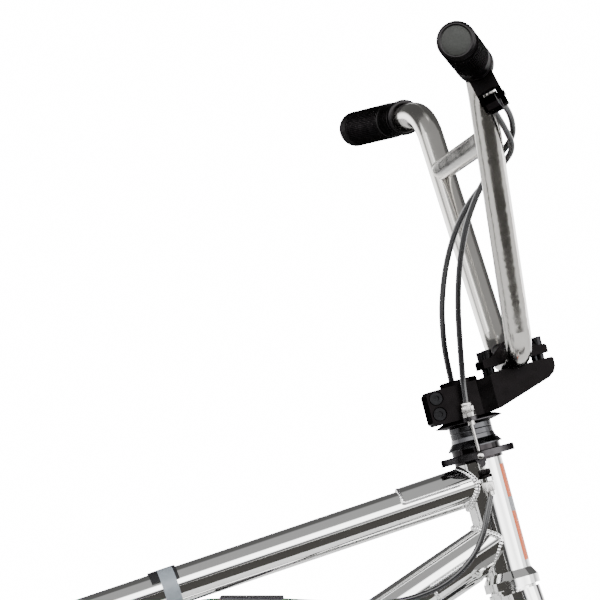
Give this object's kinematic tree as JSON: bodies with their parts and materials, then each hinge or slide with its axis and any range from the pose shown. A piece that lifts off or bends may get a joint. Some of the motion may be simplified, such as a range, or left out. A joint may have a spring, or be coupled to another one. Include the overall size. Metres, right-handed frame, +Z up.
{
  "type": "bmx bicycle",
  "caption": "BMX freestyle bike with chrome frame, high-rise bars, top-load stem and a cable detangler above the head tube that lets the bars spin all the way round.",
  "frame": {"origin": "on the ground, below the middle of the bounding box", "axes": "+X forward, along the wheelbase; +Y to the rider's left, across the bike; +Z up; the drive side is -Y"},
  "size_m": [1.4308, 0.7444, 0.9805],
  "materials": {
    "frame_chrome": "bright mirror chrome plate",
    "bar_chrome": "slightly smoky chrome plate",
    "polished_steel": "bright machined steel",
    "black_anodised": "black anodised, satin to gloss",
    "dark_anodised": "dark grey anodised, satin",
    "black_paint": "black powder coat, semi gloss",
    "cable_plastic": "black gloss cable cover",
    "black_plastic": "black moulded plastic",
    "strap_grey": "grey band",
    "saddle_cover": "black woven cover over foam",
    "grip_rubber": "charcoal rubber",
    "tyre_rubber": "black tyre rubber",
    "chain_steel": "oiled steel"
  },
  "bodies": {
    "frame": {"head_tube": "frame_chrome", "top_tube": "frame_chrome", "down_tube": "frame_chrome", "seat_tube": "frame_chrome", "bottom_bracket_shell": "frame_chrome", "chain_stays": "frame_chrome", "seat_stays": "frame_chrome", "rear_dropouts": "frame_chrome", "frame_gussets": "frame_chrome", "headset_cups": "frame_chrome", "headset_bearings": "polished_steel", "bottom_bracket_bearings": "polished_steel", "seat_clamp": "black_anodised", "top_tube_strap": "strap_grey", "lower_brake_cables": "cable_plastic", "lower_cable_barrels": "polished_steel", "cable_splitter": "cable_plastic", "rear_brake_housing": "cable_plastic", "chain": "chain_steel", "rear_axle": "polished_steel"},
    "seat_post": {"seat_post": "black_paint"},
    "saddle": {"saddle": "saddle_cover", "saddle_rails": "polished_steel", "saddle_clamp": "black_paint"},
    "steering": {"fork_steerer": "frame_chrome", "fork_legs": "frame_chrome", "headset_spacers": "dark_anodised", "gyro_upper_plate": "black_anodised", "upper_cable_barrels": "polished_steel", "stem_body": "black_anodised", "stem_cap": "black_anodised", "stem_bolts": "black_anodised", "stem_top_cap": "black_anodised", "handlebar": "bar_chrome", "grips": "grip_rubber", "bar_end_plugs": "black_plastic", "lever_perch": "black_anodised", "upper_brake_cables": "cable_plastic", "front_axle": "polished_steel"},
    "lever": {"brake_lever": "black_anodised"},
    "gyro_upper": {"gyro_upper_rotor": "dark_anodised"},
    "gyro_lower": {"gyro_lower_rotor": "dark_anodised"},
    "front_wheel": {"front_hub": "black_paint", "front_spokes": "polished_steel", "front_rim": "black_paint", "front_tyre": "tyre_rubber"},
    "rear_wheel": {"rear_hub": "black_paint", "rear_spokes": "polished_steel", "rear_rim": "black_paint", "rear_tyre": "tyre_rubber"},
    "freewheel": {"freewheel": "polished_steel"},
    "cranks": {"crank_arms": "black_paint", "crank_spindle": "polished_steel", "sprocket": "black_paint", "pedal_axles": "polished_steel"},
    "left_pedal": {"left_pedal": "black_plastic"},
    "right_pedal": {"right_pedal": "black_plastic"},
    "left_brake_arm": {"left_brake_arm": "black_anodised", "brake_noodle": "polished_steel"},
    "right_brake_arm": {"right_brake_arm": "black_anodised"}
  },
  "joints": [
    {"name": "steering", "type": "hinge", "parent": "frame", "child": "steering", "pos_m": [0.34959, 0, 0.55854], "axis": [-0.2588, 0, 0.9659], "continuous": true},
    {"name": "front_wheel_spin", "type": "hinge", "parent": "steering", "child": "front_wheel", "pos_m": [0.46539, 0, 0.25], "axis": [0, 1, 0], "continuous": true},
    {"name": "rear_wheel_spin", "type": "hinge", "parent": "frame", "child": "rear_wheel", "pos_m": [-0.46539, 0, 0.25], "axis": [0, 1, 0], "continuous": true},
    {"name": "crank_spin", "type": "hinge", "parent": "frame", "child": "cranks", "pos_m": [-0.09281, 0, 0.292], "axis": [0, 1, 0], "continuous": true, "deforming": ["chain"]},
    {"name": "freewheel_spin", "type": "hinge", "parent": "frame", "child": "freewheel", "pos_m": [-0.46539, 0, 0.25], "axis": [0, 1, 0], "continuous": true},
    {"name": "left_pedal_spin", "type": "hinge", "parent": "cranks", "child": "left_pedal", "pos_m": [-0.26781, 0, 0.292], "axis": [0, 1, 0], "continuous": true},
    {"name": "right_pedal_spin", "type": "hinge", "parent": "cranks", "child": "right_pedal", "pos_m": [0.08219, 0, 0.292], "axis": [0, 1, 0], "continuous": true},
    {"name": "brake_lever_pull", "type": "hinge", "parent": "steering", "child": "lever", "pos_m": [0.30801, -0.21809, 0.93227], "axis": [-0.8673, 0.1874, -0.4612], "range_deg": [0, 13], "stiffness_Nm_per_rad": 2, "springref_deg": -14.32},
    {"name": "gyro_upper_slide", "type": "slide", "parent": "steering", "child": "gyro_upper", "axis": [-0.2588, 0, 0.9659], "range_m": [0, 0.0085]},
    {"name": "gyro_lower_slide", "type": "slide", "parent": "frame", "child": "gyro_lower", "axis": [-0.2588, 0, 0.9659], "range_m": [0, 0.0085]},
    {"name": "left_brake_arm_swing", "type": "hinge", "parent": "frame", "child": "left_brake_arm", "pos_m": [-0.31957, 0.04913, 0.34855], "axis": [0.5599, 0, -0.8285], "range_deg": [0, 4.25], "deforming": ["rear_brake_housing"]},
    {"name": "right_brake_arm_swing", "type": "hinge", "parent": "frame", "child": "right_brake_arm", "pos_m": [-0.31957, -0.04913, 0.34855], "axis": [-0.5599, 0, 0.8285], "range_deg": [0, 4.25]},
    {"name": "seat_post_slide", "type": "slide", "parent": "frame", "child": "seat_post", "axis": [-0.3256, 0, 0.9455], "range_m": [-0.05, 0.03]},
    {"name": "saddle_tilt", "type": "hinge", "parent": "seat_post", "child": "saddle", "pos_m": [-0.2009, 0, 0.60591], "axis": [0, 1, 0], "range_deg": [-8, 8]}
  ],
  "couplings": [
    {"joint": "freewheel_spin", "follows": "crank_spin", "ratio": 2.7692},
    {"joint": "gyro_upper_slide", "follows": "brake_lever_pull", "m_per_rad": 0.035259},
    {"joint": "gyro_lower_slide", "follows": "brake_lever_pull", "m_per_rad": 0.035259},
    {"joint": "left_brake_arm_swing", "follows": "brake_lever_pull", "ratio": 0.32308},
    {"joint": "right_brake_arm_swing", "follows": "brake_lever_pull", "ratio": 0.32308}
  ]
}
